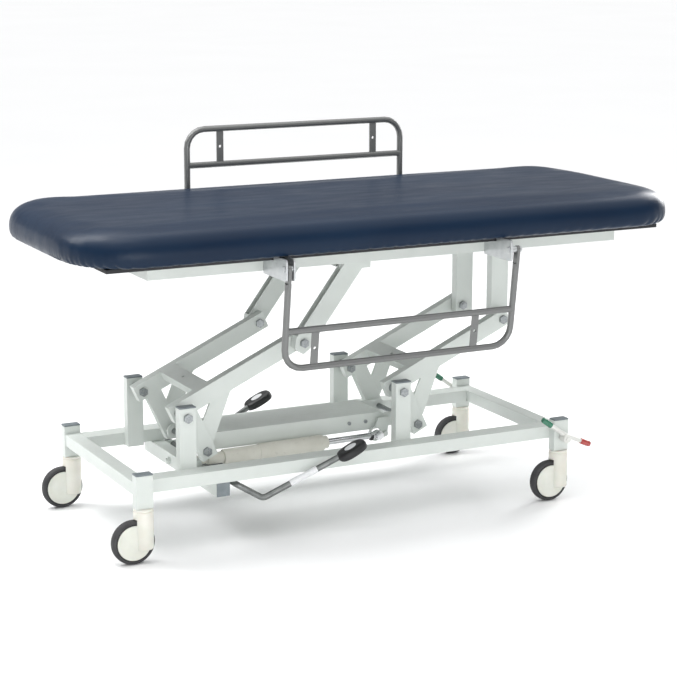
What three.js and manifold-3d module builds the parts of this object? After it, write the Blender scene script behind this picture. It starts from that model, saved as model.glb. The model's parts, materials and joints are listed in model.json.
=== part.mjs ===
// Height-adjustable treatment table: padded top on a bell-crank parallelogram lift, castors, fold-down rails.
// Millimetres. +Z up, X along the table (foot end of the lift at -X), Y across it, floor at Z = 0.

import * as THREE from 'three';
import { mergeVertices } from 'three/addons/utils/BufferGeometryUtils.js';
import Module from 'manifold-3d';

const wasm = await Module();
wasm.setup();

// ---------------------------------------------------------------- driving dimensions

const GAP = 0.3; // clearance between neighbouring pieces
const WALL = 2.5; // box tube wall
const SIDES = [{ name: 'front', sign: -1 }, { name: 'rear', sign: 1 }];
const ENDS = ['left', 'right'];

// base frame
const POST_X = { left: -771, right: 579 };
const POST_Y = 294;
const POST_HALF_X = 25;
const POST_HALF_Y = 15;
const POST_BOTTOM = 156;
const POST_TOP = 250;
const SOCKET_TOP = 177; // solid castor socket in the foot of each post
const RAIL_Y = [219, 279];
const RAIL_Z = [190.5, 227.8];
const END_RAIL_HALF_X = 22;
const TOWER_X = { left: -604, right: 82 };
const TOWER_Y = [189, 219];
const TOWER_TOP = 400;
const CAP_PLATE = 4;
const CAP_PLUG = 12;

// lift pivots, all in the XZ plane
const BASE_PIVOT_Z = 372.6;
const ARM_LENGTH = 414.5;
const ARM_ANGLE = THREE.MathUtils.degToRad(24.4);
const LEVER_PIVOT = { x: 85.6, z: -123.2 }; // from the base pivot
const LEVER_ANGLE = THREE.MathUtils.degToRad(-65);
const ARM_Y = [122, 152];
const ARM_LOW = -23; // arm section, measured square to its axis
const ARM_HIGH = 27;
const ARM_OVERHANG = 22;
const PIVOT_R = 8;
const BORE_R = 8.6; // wide enough that the facets of pin and bore stay apart

// coupling beam between the two bell cranks
const BEAM_X = [-470, 94];
const BEAM_Y = [-60, 104];
const BEAM_Z = [224, 275];
const BEAM_WALL = 3;
const LUG_R = 21;

// hydraulic ram
const RAM_Y = -91.4;
const RAM_BASE = { x: -532, z: 208 };
const RAM_PIN = { x: 65, z: 214 };
const RAM_ANGLE = Math.atan2(RAM_PIN.z - RAM_BASE.z, RAM_PIN.x - RAM_BASE.x);

// pump tube and foot lever
const PUMP_X = [-543, -503];
const PUMP_Z = [150.2, 190.2];
const PUMP_END_Y = 277;
const FOOT_X = -480;
const FOOT_Z = 178;
const FOOT_ROD_R = 9;

// top
const FRAME_X = [-740, 772];
const FRAME_Y = [245, 275];
const FRAME_Z = [784, 824];
const BOARD = { x: 880, y: 340, z: [824.3, 836] };
const MATTRESS = { x: 966, y: 400, cornerX: 205, cornerY: 245, power: 2.4, roll: 56, z: [838.5, 933] };
const LINK_Y = [154, 184];
const LINK_ANGLE = THREE.MathUtils.degToRad(53);
const DROP_Y = [90, 120];
const DROP_X = [437, 495];
const CROSS_BOTTOM = 748; // lower edge of the cross members under the top frame

// side rails
const HINGE_Y = 412;
const HINGE_Z = 810;
const TUBE_R = 9.5;
const TUBE_WALL = 1.5;
const LOOP_DEPTH = 290;
const MID_DEPTH = 180;
const LOOP_BEND = 57;
const STRAP = { x: 4.5, y: 10.5, depth: 55 };
const SIDE_RAILS = {
  front: { legs: [-382, 343], strips: [-290.5, 221], turn: THREE.MathUtils.degToRad(7) },
  rear: { legs: [-334.6, 405], strips: [-225, 306], turn: Math.PI },
};

// castors
const WHEEL_R = 62.5;
const WHEEL_TRAIL = 32;
const HOOD_R = 28.5;
const HOOD_BOTTOM = 40;
const WHEEL_FACETS = 24;

// brake pedals
const BRAKE_Z = 200;
const BRAKE_R = 6;

// ---------------------------------------------------------------- finishes

const finish = (color, roughness, metalness) => new THREE.MeshStandardMaterial({ color, roughness, metalness });
const FINISH = {
  frame: finish(0xd3dad5, 0.5, 0.05),
  cap: finish(0x7d878c, 0.55, 0.0),
  bolt: finish(0x8f989a, 0.4, 0.8),
  vinyl: finish(0x1d3152, 0.55, 0.0),
  board: finish(0x2b2e33, 0.8, 0.0),
  rail: finish(0x7c7a74, 0.4, 0.6),
  bracket: finish(0xb9bec0, 0.45, 0.4),
  cream: finish(0xe3dfcb, 0.5, 0.0),
  chrome: finish(0xc9cccf, 0.15, 1.0),
  castor: finish(0xe2e0d6, 0.45, 0.0),
  tyre: finish(0x3d3f42, 0.75, 0.0),
  pad: finish(0x141516, 0.5, 0.0),
  lever: finish(0x6f7370, 0.45, 0.5),
  pump: finish(0x5d6266, 0.5, 0.4),
};

// ---------------------------------------------------------------- solids

const group = new THREE.Group();
group.name = 'exam_table';

function solidOf(geometry) {
  const bare = geometry.clone();
  bare.deleteAttribute('normal');
  bare.deleteAttribute('uv');
  const merged = mergeVertices(bare, 1e-4);
  const mesh = new wasm.Mesh({
    numProp: 3,
    vertProperties: new Float32Array(merged.attributes.position.array),
    triVerts: new Uint32Array(merged.index.array),
  });
  return new wasm.Manifold(mesh);
}

function geometryOf(solid) {
  const mesh = solid.getMesh();
  const indexed = new THREE.BufferGeometry();
  indexed.setAttribute('position', new THREE.BufferAttribute(mesh.vertProperties, 3));
  indexed.setIndex(new THREE.BufferAttribute(mesh.triVerts, 1));
  const flat = indexed.toNonIndexed();
  flat.computeVertexNormals();
  return flat;
}

function add(name, solid, material) {
  const mesh = new THREE.Mesh(geometryOf(solid), material);
  mesh.name = name;
  group.add(mesh);
}

const union = (pieces) => pieces.reduce((whole, piece) => whole.add(piece));
const cut = (solid, tools) => tools.reduce((rest, tool) => rest.subtract(tool), solid);
const mirrorY = (solid) => solid.mirror([0, 1, 0]);
const both = (solid) => solid.add(mirrorY(solid));

function box(x, y, z) {
  const geometry = new THREE.BoxGeometry(x[1] - x[0], y[1] - y[0], z[1] - z[0]);
  geometry.translate((x[0] + x[1]) / 2, (y[0] + y[1]) / 2, (z[0] + z[1]) / 2);
  return solidOf(geometry);
}

// Outline points are [first, second] pairs in the plane square to the axis, taken in the order X, Y, Z, X.
function prism(axis, outline, from, to) {
  const shape = new THREE.Shape(outline.map(([a, b]) => new THREE.Vector2(a, b)));
  const geometry = new THREE.ExtrudeGeometry(shape, { depth: to - from, bevelEnabled: false });
  geometry.translate(0, 0, from);
  const [x, y, z] = [new THREE.Vector3(1, 0, 0), new THREE.Vector3(0, 1, 0), new THREE.Vector3(0, 0, 1)];
  const frames = { x: [y, z, x], y: [z, x, y], z: [x, y, z] };
  geometry.applyMatrix4(new THREE.Matrix4().makeBasis(...frames[axis]));
  return solidOf(geometry);
}

// A plate or bar drawn in XZ and extruded along Y.
const plateXZ = (outline, y) => prism('y', outline.map(([x, z]) => [z, x]), y[0], y[1]);

function ring(radius, count, centre = [0, 0], phase = 0) {
  return Array.from({ length: count }, (_, i) => {
    const angle = phase + (2 * Math.PI * i) / count;
    return [centre[0] + radius * Math.cos(angle), centre[1] + radius * Math.sin(angle)];
  });
}

const roundY = (radius, x, z, y, count = 12) => prism('y', ring(radius, count, [z, x]), y[0], y[1]);
const roundX = (radius, y, z, x, count = 12) => prism('x', ring(radius, count, [y, z]), x[0], x[1]);
const roundZ = (radius, x, y, z, count = 12) => prism('z', ring(radius, count, [x, y]), z[0], z[1]);

// A rectangle given by a start point, a direction, a span along it and a span square to it (left positive).
function bar(start, angle, along, across) {
  const [c, s] = [Math.cos(angle), Math.sin(angle)];
  const corners = [[along[0], across[0]], [along[1], across[0]], [along[1], across[1]], [along[0], across[1]]];
  return corners.map(([u, v]) => [start.x + u * c - v * s, start.z + u * s + v * c]);
}

const vec = (x, y, z) => new THREE.Vector3(x, y, z);

// A path that is sampled exactly at its own stations, so bends get all the sections.
class StationPath extends THREE.Curve {
  constructor(stations) {
    super();
    this.stations = stations;
  }

  station(u) {
    return this.stations[Math.round(u * (this.stations.length - 1))];
  }

  getPoint(u, target = new THREE.Vector3()) {
    return target.copy(this.station(u).point);
  }

  getPointAt(u, target) {
    return this.getPoint(u, target);
  }

  getTangentAt(u, target = new THREE.Vector3()) {
    return target.copy(this.station(u).tangent);
  }

  getSpacedPoints() {
    return this.stations.map((station) => station.point.clone());
  }
}

function roundedPath(corners, bend, arcSteps) {
  const towards = (a, b) => b.clone().sub(a).normalize();
  const last = corners.length - 1;
  const stations = [{ point: corners[0], tangent: towards(corners[0], corners[1]) }];
  for (let i = 1; i < last; i += 1) {
    const arrive = towards(corners[i - 1], corners[i]);
    const leave = towards(corners[i], corners[i + 1]);
    const turn = arrive.angleTo(leave);
    const axis = arrive.clone().cross(leave).normalize();
    const start = corners[i].clone().addScaledVector(arrive, -bend * Math.tan(turn / 2));
    const centre = start.clone().addScaledVector(axis.clone().cross(arrive), bend);
    for (let step = 0; step <= arcSteps; step += 1) {
      const angle = (turn * step) / arcSteps;
      const point = start.clone().sub(centre).applyAxisAngle(axis, angle).add(centre);
      stations.push({ point, tangent: arrive.clone().applyAxisAngle(axis, angle) });
    }
  }
  stations.push({ point: corners[last], tangent: towards(corners[last - 1], corners[last]) });
  return new StationPath(stations);
}

function tube(corners, radius, bend, arcSteps = 5, count = 12) {
  const path = roundedPath(corners, bend, arcSteps);
  const shape = new THREE.Shape(ring(radius, count).map(([a, b]) => new THREE.Vector2(a, b)));
  const options = { steps: path.stations.length - 1, bevelEnabled: false, extrudePath: path };
  return solidOf(new THREE.ExtrudeGeometry(shape, options));
}

// A closed skin through rings of equal point count, capped flat at both ends.
function loft(rings) {
  const count = rings[0].length;
  const positions = rings.flat().flat();
  const triangles = [];
  for (let level = 0; level < rings.length - 1; level += 1) {
    for (let i = 0; i < count; i += 1) {
      const next = (i + 1) % count;
      const [a, b] = [level * count + i, level * count + next];
      const [c, d] = [a + count, b + count];
      triangles.push(a, b, d, a, d, c);
    }
  }
  const top = (rings.length - 1) * count;
  for (let i = 1; i < count - 1; i += 1) {
    triangles.push(0, i + 1, i);
    triangles.push(top, top + i, top + i + 1);
  }
  const geometry = new THREE.BufferGeometry();
  geometry.setAttribute('position', new THREE.Float32BufferAttribute(positions, 3));
  geometry.setIndex(triangles);
  return solidOf(geometry);
}

// Bolt along Y: shank, a hexagon head or nut at each end, and an optional spacer collar.
function bolt(x, z, shank, heads, collar) {
  const pieces = [roundY(PIVOT_R, x, z, shank), ...heads.map((span) => roundY(14, x, z, span, 6))];
  if (collar) {
    pieces.push(roundY(14, x, z, collar));
  }
  return union(pieces);
}

const place = (solid, sign) => (sign < 0 ? mirrorY(solid) : solid);

// ---------------------------------------------------------------- base frame

const inset = ([low, high], by) => [low + by, high - by];

function buildBaseSide() {
  const railX = [POST_X.left + END_RAIL_HALF_X + GAP, POST_X.right - END_RAIL_HALF_X - GAP];
  const outer = [box(railX, RAIL_Y, RAIL_Z)];
  const inner = [box([railX[0] - 1, railX[1] + 1], inset(RAIL_Y, WALL), inset(RAIL_Z, WALL))];
  ENDS.forEach((end) => {
    const x = TOWER_X[end];
    outer.push(box([x - 25, x + 25], TOWER_Y, [RAIL_Z[0], TOWER_TOP]));
    outer.push(box([x - 25, x + 25], [TOWER_Y[1] - 1, TOWER_Y[1] + 0.5], RAIL_Z));
    inner.push(box([x - 22.5, x + 22.5], inset(TOWER_Y, WALL), [RAIL_Z[0] - 1, TOWER_TOP + 1]));
    inner.push(roundY(BORE_R, x, BASE_PIVOT_Z, [TOWER_Y[0] - 1, TOWER_Y[1] + 1]));
  });
  return cut(union(outer), inner);
}

function buildBaseEnd(end) {
  const x = POST_X[end];
  const rail = box([x - END_RAIL_HALF_X, x + END_RAIL_HALF_X], [-RAIL_Y[1] - 0.5, RAIL_Y[1] + 0.5], RAIL_Z);
  const post = box([x - POST_HALF_X, x + POST_HALF_X], [POST_Y - POST_HALF_Y, POST_Y + POST_HALF_Y],
    [POST_BOTTOM, POST_TOP]);
  const railVoid = box([x - END_RAIL_HALF_X + WALL, x + END_RAIL_HALF_X - WALL],
    [-POST_Y, POST_Y], inset(RAIL_Z, WALL));
  const postVoid = box([x - POST_HALF_X + WALL, x + POST_HALF_X - WALL],
    [POST_Y - POST_HALF_Y + WALL, POST_Y + POST_HALF_Y - WALL], [SOCKET_TOP, POST_TOP + 1]);
  const socket = roundZ(10.3, x, POST_Y, [POST_BOTTOM - 1, SOCKET_TOP + 1]);
  const tools = [railVoid, both(postVoid), both(socket)];
  if (end === 'right') {
    tools.push(roundY(BRAKE_R + 0.6, x, BRAKE_Z, [-POST_Y - 20, POST_Y + 20]));
  }
  return cut(rail.add(both(post)), tools);
}

// Flat end cap with a plug that reaches into the tube below it.
function tubeCap(x, y, halfX, halfY, tubeTop) {
  const plate = box([x - halfX, x + halfX], [y - halfY, y + halfY], [tubeTop + GAP, tubeTop + GAP + CAP_PLATE]);
  const edge = WALL + GAP;
  const plug = box([x - halfX + edge, x + halfX - edge], [y - halfY + edge, y + halfY - edge],
    [tubeTop - CAP_PLUG, tubeTop + GAP + 1]);
  return plate.add(plug);
}

SIDES.forEach(({ name, sign }) => {
  add(`base_side_${name}`, place(buildBaseSide(), sign), FINISH.frame);
});
ENDS.forEach((end) => {
  add(`base_end_${end}`, buildBaseEnd(end), FINISH.frame);
});
SIDES.forEach(({ name, sign }) => {
  ENDS.forEach((end) => {
    const postCap = tubeCap(POST_X[end], POST_Y, POST_HALF_X, POST_HALF_Y, POST_TOP);
    add(`post_cap_${name}_${end}`, place(postCap, sign), FINISH.cap);
    const towerMid = (TOWER_Y[0] + TOWER_Y[1]) / 2;
    const towerCap = tubeCap(TOWER_X[end], towerMid, 25, 15, TOWER_TOP);
    add(`tower_cap_${name}_${end}`, place(towerCap, sign), FINISH.cap);
    const pivot = bolt(TOWER_X[end], BASE_PIVOT_Z, [111, 227.5], [[219.3, 227.5], [113.5, 121.7]],
      [ARM_Y[1] + GAP, TOWER_Y[0] - GAP]);
    add(`base_pivot_${name}_${end}`, place(pivot, sign), FINISH.bolt);
  });
});

// ---------------------------------------------------------------- pump tube, pump and foot lever

function buildPumpTube() {
  const y = [-PUMP_END_Y + 3, PUMP_END_Y - 3];
  const outer = [box(PUMP_X, y, PUMP_Z)];
  [-1, 1].forEach((side) => {
    const bearing = side > 0 ? [200, 212] : [-212, -200];
    outer.push(box([PUMP_X[1] - 0.5, FOOT_X + 16], bearing, [162, 189.5]));
    const lug = side > 0 ? [RAM_Y + 11, RAM_Y + 17] : [RAM_Y - 17, RAM_Y - 11];
    outer.push(plateXZ([[-549, 190], [-515, 190], [-519, 219], [-545, 219]], lug));
  });
  outer.push(box([-550, -514], [RAM_Y - 17, RAM_Y + 17], [PUMP_Z[1] - 0.5, PUMP_Z[1] + 4]));
  outer.push(roundY(6, RAM_BASE.x, RAM_BASE.z, [RAM_Y - 22, RAM_Y + 22]));
  // Domed nut on the outer face of the tube.
  outer.push(roundX(11, 75, 169, [PUMP_X[0] - 8, PUMP_X[0] + 0.5], 6));
  outer.push(roundX(7.5, 75, 169, [PUMP_X[0] - 14, PUMP_X[0] - 7.5]));
  // Plate that carries the pump, passing under the lever shaft.
  outer.push(box([PUMP_X[1] - 0.5, -466], [-40, 40], [151, 158]));
  const inner = [box(inset(PUMP_X, WALL), [y[0] - 1, y[1] + 1], inset(PUMP_Z, WALL))];
  inner.push(roundY(FOOT_ROD_R + 0.6, FOOT_X, FOOT_Z, [-213, 213], 16));
  return cut(union(outer), inner);
}

function buildPumpBody() {
  return union([
    box([-466 + GAP, -396], [-42, 42], [118, 155]),
    roundZ(9, -449, 0, [154.5, 160]),
    roundX(25, 0, 142, [-396.5, -286], 16),
    roundX(8, 0, 142, [-286.5, -278]),
  ]);
}

function buildFootLever() {
  const arm = [[-152, 321, 245.5], [-240, 305, 203], [-400, 275, 128], [FOOT_X, 262, FOOT_Z]];
  const rear = arm.map(([x, y, z]) => vec(x, y, z));
  const front = arm.map(([x, y, z]) => vec(x, -y, z)).reverse();
  // The bar is straight through the pad end, so the first knee is the bend below the rail.
  const corners = [rear[0], rear[2], rear[3], front[0], front[1], front[3]];
  const shaft = tube(corners, FOOT_ROD_R, 22, 4, 12);
  const cam = box([FOOT_X, FOOT_X + 34], [-8, 8], [FOOT_Z - 5, FOOT_Z + 5]);
  return shaft.add(cam);
}

// Rounded pad that follows the slope of the lever's end.
function buildFootPad() {
  const slope = Math.atan2(245.5 - 203, 88);
  const outline = (grow, height) => {
    const points = [];
    for (let i = 0; i < 20; i += 1) {
      const angle = (2 * Math.PI * i) / 20;
      const wide = Math.sign(Math.cos(angle)) * Math.abs(Math.cos(angle)) ** 0.8;
      const tall = Math.sign(Math.sin(angle)) * Math.abs(Math.sin(angle)) ** 0.75;
      points.push([(46 + grow) * wide, (31 + grow) * tall, height]);
    }
    return points;
  };
  const levels = [[-6, -13], [0, -8], [0, 3], [-3, 8], [-10, 11]];
  const pad = loft(levels.map(([grow, height]) => outline(grow, height)));
  const angleDegrees = THREE.MathUtils.radToDeg(slope);
  const turned = pad.rotate([0, -angleDegrees, 0]).translate([-143, 323, 251]);
  const below = tube([vec(-152, 321, 245.5), vec(-400, 275, 128)], FOOT_ROD_R + 0.6, 1, 1, 12);
  return { pad: turned, below };
}

add('pump_tube', buildPumpTube(), FINISH.frame);
SIDES.forEach(({ name, sign }) => {
  const face = box(PUMP_X, [PUMP_END_Y - 3 + GAP, PUMP_END_Y], PUMP_Z);
  const plug = box(inset(PUMP_X, WALL + GAP), [PUMP_END_Y - 14, PUMP_END_Y - 2], inset(PUMP_Z, WALL + GAP));
  add(`pump_tube_end_${name}`, place(face.add(plug), sign), FINISH.cap);
});
add('pump_body', buildPumpBody(), FINISH.pump);

const footLever = buildFootLever();
add('foot_lever', footLever, FINISH.lever);
SIDES.forEach(({ name, sign }) => {
  const { pad, below } = buildFootPad();
  add(`foot_pad_${name}`, place(pad.subtract(below), sign), FINISH.pad);
});

// ---------------------------------------------------------------- lift arms and coupling beam

function buildArmFrame(pivotX) {
  const pivot = { x: pivotX, z: BASE_PIVOT_Z };
  const lever = { x: pivotX + LEVER_PIVOT.x, z: BASE_PIVOT_Z + LEVER_PIVOT.z };
  const armSpan = [-ARM_OVERHANG, ARM_LENGTH + ARM_OVERHANG];
  const arm = plateXZ(bar(pivot, ARM_ANGLE, armSpan, [ARM_LOW, ARM_HIGH]), ARM_Y);
  // The down lever leans from the underside of the arm to the lower pivot.
  const crank = plateXZ(bar(lever, LEVER_ANGLE, [-134, 23], [-23, 27]), ARM_Y);
  const webOutline = [[104, 24], [171, 52], [163, 40], [111.5, -96], [104, -104], [90, -96], [72, -36], [80, -33]];
  const web = plateXZ(webOutline.map(([x, z]) => [pivotX + x, BASE_PIVOT_Z + z]), [133, 141]);
  const cross = plateXZ(bar(pivot, ARM_ANGLE, [72, 122], [0, ARM_HIGH]), [-ARM_Y[0] - 0.5, ARM_Y[0] + 0.5]);
  const hollowY = inset(ARM_Y, WALL);
  const armVoid = plateXZ(bar(pivot, ARM_ANGLE, inset(armSpan, WALL), [ARM_LOW + WALL, ARM_HIGH - WALL]), hollowY);
  const crankVoid = plateXZ(bar(lever, LEVER_ANGLE, [-88, 20.5], [-20.5, 24.5]), hollowY);
  const crossVoid = plateXZ(bar(pivot, ARM_ANGLE, [74.5, 119.5], [WALL, ARM_HIGH - WALL]), [-120, 120]);
  const upper = {
    x: pivotX + ARM_LENGTH * Math.cos(ARM_ANGLE),
    z: BASE_PIVOT_Z + ARM_LENGTH * Math.sin(ARM_ANGLE),
  };
  const bores = [pivot, lever, upper].map(({ x, z }) => both(roundY(BORE_R, x, z, [ARM_Y[0] - 1, ARM_Y[1] + 1])));
  const hole = { along: 97, radius: 4.5 };
  const holeX = pivotX + hole.along * Math.cos(ARM_ANGLE);
  const holeZ = BASE_PIVOT_Z + hole.along * Math.sin(ARM_ANGLE);
  const vent = roundZ(hole.radius, 0, 0, [5, 60], 12)
    .rotate([0, -THREE.MathUtils.radToDeg(ARM_ANGLE), 0]).translate([holeX, 0, holeZ]);
  const solid = union([both(union([arm, crank, web])), cross]);
  return cut(solid, [both(armVoid), both(crankVoid), crossVoid, vent, ...bores]);
}

function buildBeam() {
  const body = box(BEAM_X, BEAM_Y, BEAM_Z);
  const hollow = box([BEAM_X[0] - 1, BEAM_X[1] + 1], inset(BEAM_Y, BEAM_WALL), inset(BEAM_Z, BEAM_WALL));
  const pieces = [cut(body, [hollow])];
  const shaftZ = BASE_PIVOT_Z + LEVER_PIVOT.z;
  const walls = [[BEAM_Y[0], BEAM_Y[0] + 8], [BEAM_Y[1] - 8, BEAM_Y[1]]];
  const bores = [];
  ENDS.forEach((end) => {
    const shaftX = TOWER_X[end] + LEVER_PIVOT.x;
    const root = end === 'left' ? [shaftX, BEAM_X[0] + 40] : [BEAM_X[1] - 40, shaftX];
    walls.forEach((wall) => {
      pieces.push(box(root, wall, [shaftZ - LUG_R, shaftZ + LUG_R]));
      pieces.push(roundY(LUG_R, shaftX, shaftZ, wall, 16));
    });
    bores.push(roundY(BORE_R, shaftX, shaftZ, [BEAM_Y[0] - 1, BEAM_Y[1] + 1]));
  });
  // Plate that takes the ram rod, standing off the front wall of the beam.
  const plateY = [-79, -71];
  pieces.push(plateXZ([[64, 191], [104, 203], [110, 262], [74, 262], [64, 237]], plateY));
  pieces.push(roundY(23, RAM_PIN.x, RAM_PIN.z, plateY, 20));
  pieces.push(box([76, 92], [-71.5, -59.5], [232, 260]));
  pieces.push(roundY(8.5, 95, 213, [-87, -78.5], 6));
  bores.push(roundY(17.5, RAM_PIN.x, RAM_PIN.z, [plateY[0] - 1, plateY[1] + 1], 20));
  return cut(union(pieces), bores);
}

ENDS.forEach((end) => {
  add(`arm_${end}_frame`, buildArmFrame(TOWER_X[end]), FINISH.frame);
});
add('coupling_beam', buildBeam(), FINISH.frame);
ENDS.forEach((end) => {
  const shaftX = TOWER_X[end] + LEVER_PIVOT.x;
  const shaftZ = BASE_PIVOT_Z + LEVER_PIVOT.z;
  const shaft = bolt(shaftX, shaftZ, [-160.5, 160.5], [[152.3, 160.5], [-160.5, -152.3]]);
  add(`lever_shaft_${end}`, shaft, FINISH.bolt);
});

// ---------------------------------------------------------------- hydraulic ram

// The ram is drawn level, with its base pin at its own place, and then tipped about that pin.
function tipRam(solid) {
  const degrees = THREE.MathUtils.radToDeg(RAM_ANGLE);
  return solid.translate([-RAM_BASE.x, 0, -RAM_BASE.z]).rotate([0, -degrees, 0])
    .translate([RAM_BASE.x, 0, RAM_BASE.z]);
}

function buildRamEnd() {
  const eyeY = [RAM_Y - 10, RAM_Y + 10];
  const eye = roundY(12, RAM_BASE.x, RAM_BASE.z, eyeY, 16);
  const neck = box([RAM_BASE.x, -493], eyeY, [RAM_BASE.z - 10, RAM_BASE.z + 10]);
  const body = roundX(17, RAM_Y, RAM_BASE.z, [-494, -444 - GAP], 16);
  return tipRam(cut(union([eye, neck, body]), [roundY(6.5, RAM_BASE.x, RAM_BASE.z, [RAM_Y - 11, RAM_Y + 11])]));
}

function buildRamBarrel() {
  const z = RAM_BASE.z;
  const barrel = union([
    roundX(22, RAM_Y, z, [-444, -330], 20),
    roundX(24, RAM_Y, z, [-330.5, -122], 20),
    roundX(19, RAM_Y, z, [-122.5, -107], 20),
  ]);
  const bore = roundX(14.4, RAM_Y, z, [-436, -121], 16);
  const gland = roundX(10.2, RAM_Y, z, [-122, -106], 16);
  return tipRam(cut(barrel, [bore, gland]));
}

function buildRamRod() {
  const z = RAM_BASE.z;
  return tipRam(union([
    roundX(9.5, RAM_Y, z, [-262, 60], 16),
    roundX(13.6, RAM_Y, z, [-276, -261.5], 16),
    roundX(12, RAM_Y, z, [38, 46], 16),
    roundY(14, RAM_PIN.x, z, [RAM_Y - 9, RAM_Y + 9], 16),
    roundY(PIVOT_R - 2, RAM_PIN.x, z, [RAM_Y - 16, -66]),
    roundY(12.5, RAM_PIN.x, z, [RAM_Y - 18, RAM_Y - 8.5], 6),
  ]));
}

add('ram_end_fitting', buildRamEnd(), FINISH.cream);
add('ram_barrel', buildRamBarrel(), FINISH.cream);
add('ram_rod', buildRamRod(), FINISH.chrome);

// ---------------------------------------------------------------- top frame, board and mattress

const UPPER_LEFT = {
  x: TOWER_X.left + ARM_LENGTH * Math.cos(ARM_ANGLE),
  z: BASE_PIVOT_Z + ARM_LENGTH * Math.sin(ARM_ANGLE),
};
const UPPER_RIGHT = { x: TOWER_X.right + ARM_LENGTH * Math.cos(ARM_ANGLE), z: UPPER_LEFT.z };
const LINK_CROSS_X = [-100, -12];
const DROP_CROSS_X = [441, 491];

function buildTopFrame() {
  const rails = both(box(FRAME_X, FRAME_Y, FRAME_Z));
  const across = [
    [FRAME_X[0], FRAME_X[0] + 30], [-455, -425], [-76, -36], [232, 262], [446, 486],
    [FRAME_X[1] - 30, FRAME_X[1]],
  ];
  const outer = [rails, ...across.map((x) => box(x, [-FRAME_Y[0] - 0.5, FRAME_Y[0] + 0.5], FRAME_Z))];
  const inner = [both(box(inset(FRAME_X, WALL), inset(FRAME_Y, WALL), inset(FRAME_Z, WALL)))];
  across.forEach((x) => {
    inner.push(box(inset(x, WALL), [-FRAME_Y[0] - 5, FRAME_Y[0] + 5], inset(FRAME_Z, WALL)));
  });
  // Drain holes on the underside.
  [-560, 600].forEach((x) => inner.push(both(roundZ(4, x, 260, [FRAME_Z[0] - 1, FRAME_Z[0] + 10], 12))));
  return cut(union(outer), inner);
}

// Left pair of links: open channels that lean from the upper pivot to a channel under the top frame.
function buildLeftLinks() {
  const [c, s] = [Math.cos(LINK_ANGLE), Math.sin(LINK_ANGLE)];
  const at = (along, across) => [UPPER_LEFT.x + along * c - across * s, UPPER_LEFT.z + along * s + across * c];
  const top = FRAME_Z[0] - GAP;
  const outline = [at(-28, 14), at(-28, -19), at(-6, -26), at(360, -27), at(340, 30), at(0, 30)];
  const link = plateXZ(outline, LINK_Y);
  const web = 3;
  const channel = [at(6, 60), at(6, -23), at(360, -24), at(360, 60)];
  const hollow = plateXZ(channel, [LINK_Y[0] + web, LINK_Y[1] - web]);
  const above = box([-400, 400], [-300, 300], [top, top + 200]);
  const cross = box(LINK_CROSS_X, [-LINK_Y[1], LINK_Y[1]], [CROSS_BOTTOM, top]);
  const crossHollow = box([LINK_CROSS_X[0] - 1, LINK_CROSS_X[1] - web], [-LINK_Y[0] - 3 + web, LINK_Y[0] + 3 - web],
    [CROSS_BOTTOM + web, top - web]);
  const bore = both(roundY(BORE_R, UPPER_LEFT.x, UPPER_LEFT.z, [LINK_Y[0] - 1, LINK_Y[1] + 1]));
  return cut(cut(both(link), [both(hollow), above]).add(cut(cross, [crossHollow])), [bore]);
}

function buildDropLegs() {
  const top = FRAME_Z[0] - GAP;
  const leg = box(DROP_X, DROP_Y, [522, top]);
  const hollow = box(inset(DROP_X, WALL), inset(DROP_Y, WALL), [521, top - WALL]);
  const cross = box(DROP_CROSS_X, [-DROP_Y[0] - 0.5, DROP_Y[0] + 0.5], [CROSS_BOTTOM, top]);
  const crossHollow = box([DROP_CROSS_X[0] - 1, DROP_CROSS_X[1] - 3], [-DROP_Y[0] + 3, DROP_Y[0] - 3],
    [CROSS_BOTTOM + 3, top - 3]);
  const bore = both(roundY(BORE_R, UPPER_RIGHT.x, UPPER_RIGHT.z, [DROP_Y[0] - 1, DROP_Y[1] + 1]));
  return cut(both(cut(leg, [hollow])).add(cut(cross, [crossHollow])), [bore]);
}

function mattressOutline(shrink, z) {
  const half = { x: MATTRESS.x - shrink, y: MATTRESS.y - shrink };
  const corner = { x: MATTRESS.cornerX - shrink, y: MATTRESS.cornerY - shrink };
  const steps = 9;
  const quarter = Array.from({ length: steps + 1 }, (_, i) => {
    const angle = (Math.PI / 2) * (i / steps);
    const cosine = Math.max(Math.cos(angle), 0) ** (2 / MATTRESS.power);
    const sine = Math.sin(angle) ** (2 / MATTRESS.power);
    return [half.x - corner.x + corner.x * cosine, half.y - corner.y + corner.y * sine];
  });
  const back = [...quarter].reverse();
  return [
    ...quarter.map(([x, y]) => [x, y, z]),
    ...back.map(([x, y]) => [-x, y, z]),
    ...quarter.map(([x, y]) => [-x, -y, z]),
    ...back.map(([x, y]) => [x, -y, z]),
  ];
}

function buildMattress() {
  const [bottom, top] = MATTRESS.z;
  const levels = [[9, bottom], [2, bottom + 4], [0, bottom + 12]];
  const turns = 5;
  for (let i = 0; i <= turns; i += 1) {
    const angle = (Math.PI / 2) * (i / turns);
    levels.push([MATTRESS.roll * (1 - Math.cos(angle)), top - 1.5 - MATTRESS.roll * (1 - Math.sin(angle))]);
  }
  levels.push([MATTRESS.roll + 40, top]);
  return loft(levels.map(([shrink, z]) => mattressOutline(shrink, z)));
}

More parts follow.
